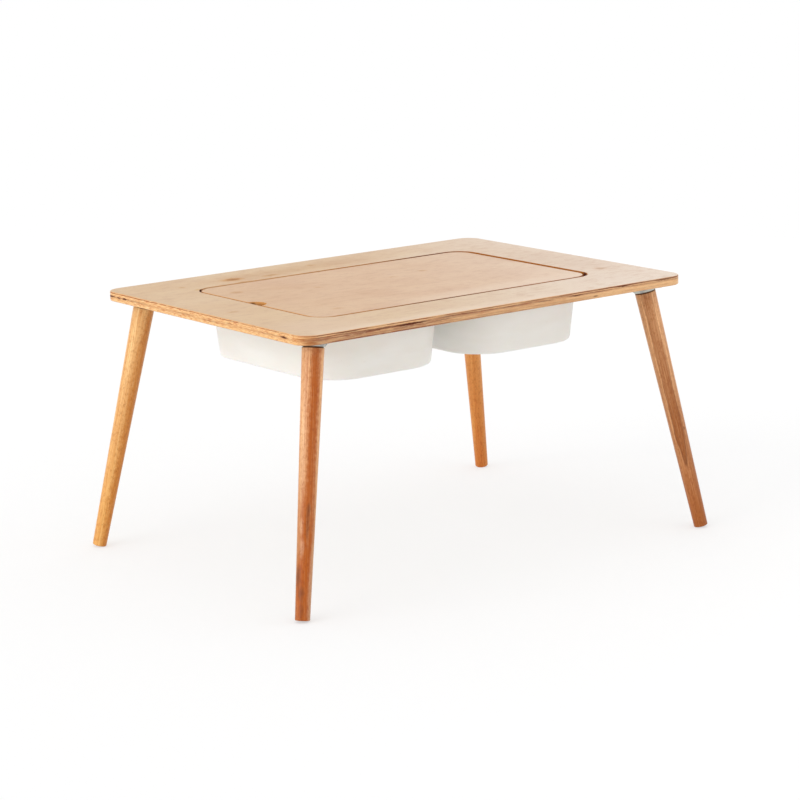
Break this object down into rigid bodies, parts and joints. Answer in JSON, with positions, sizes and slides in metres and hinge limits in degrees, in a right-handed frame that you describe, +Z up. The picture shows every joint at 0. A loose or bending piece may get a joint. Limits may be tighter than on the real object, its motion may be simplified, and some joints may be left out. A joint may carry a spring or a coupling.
{
  "type": "kids table with storage",
  "caption": "Low plywood play table with splayed round legs, a flush lift-off lid with a finger notch, and moulded storage tubs that slide on runners under the top.",
  "frame": {"origin": "on the floor, under the middle of the table top", "axes": "+X along the table's long side to the right, -Y is the front, +Z up"},
  "size_m": [0.8756, 0.63, 0.448],
  "materials": {
    "top_plywood": "clear matt varnish on rotary-cut hardwood plywood, pale tan face, edge plies left open",
    "lid_plywood": "clear matt varnish, a little pinker than the top",
    "tub_plastic": "off-white moulded polypropylene with a soft sheen",
    "leg_beech": "satin varnish on turned beech, orange brown with fine flecks",
    "runner_wood": "planed beech strip, unvarnished",
    "plate_steel": "pressed steel, bright zinc plate",
    "screw_steel": "bright zinc plate"
  },
  "bodies": {
    "table": {"table_top": "top_plywood", "front_runner": "runner_wood", "back_runner": "runner_wood", "front_runner_screws": "screw_steel", "back_runner_screws": "screw_steel", "front_left_leg": "leg_beech", "front_right_leg": "leg_beech", "back_left_leg": "leg_beech", "back_right_leg": "leg_beech", "front_left_leg_plate": "plate_steel", "front_right_leg_plate": "plate_steel", "back_left_leg_plate": "plate_steel", "back_right_leg_plate": "plate_steel", "front_left_leg_nut": "screw_steel", "front_right_leg_nut": "screw_steel", "back_left_leg_nut": "screw_steel", "back_right_leg_nut": "screw_steel", "front_left_hanger_bolt": "screw_steel", "front_right_hanger_bolt": "screw_steel", "back_left_hanger_bolt": "screw_steel", "back_right_hanger_bolt": "screw_steel", "front_left_plate_screws": "screw_steel", "front_right_plate_screws": "screw_steel", "back_left_plate_screws": "screw_steel", "back_right_plate_screws": "screw_steel"},
    "lid": {"lid": "lid_plywood"},
    "left_tub": {"left_tub": "tub_plastic"},
    "right_tub": {"right_tub": "tub_plastic"}
  },
  "joints": [
    {"name": "lid_lift", "type": "slide", "parent": "table", "child": "lid", "axis": [0, 0, 1], "range_m": [0, 0.25]},
    {"name": "left_tub_slide", "type": "slide", "parent": "table", "child": "left_tub", "axis": [-1, 0, 0], "range_m": [0, 0.3]},
    {"name": "right_tub_slide", "type": "slide", "parent": "table", "child": "right_tub", "axis": [1, 0, 0], "range_m": [0, 0.3]}
  ]
}
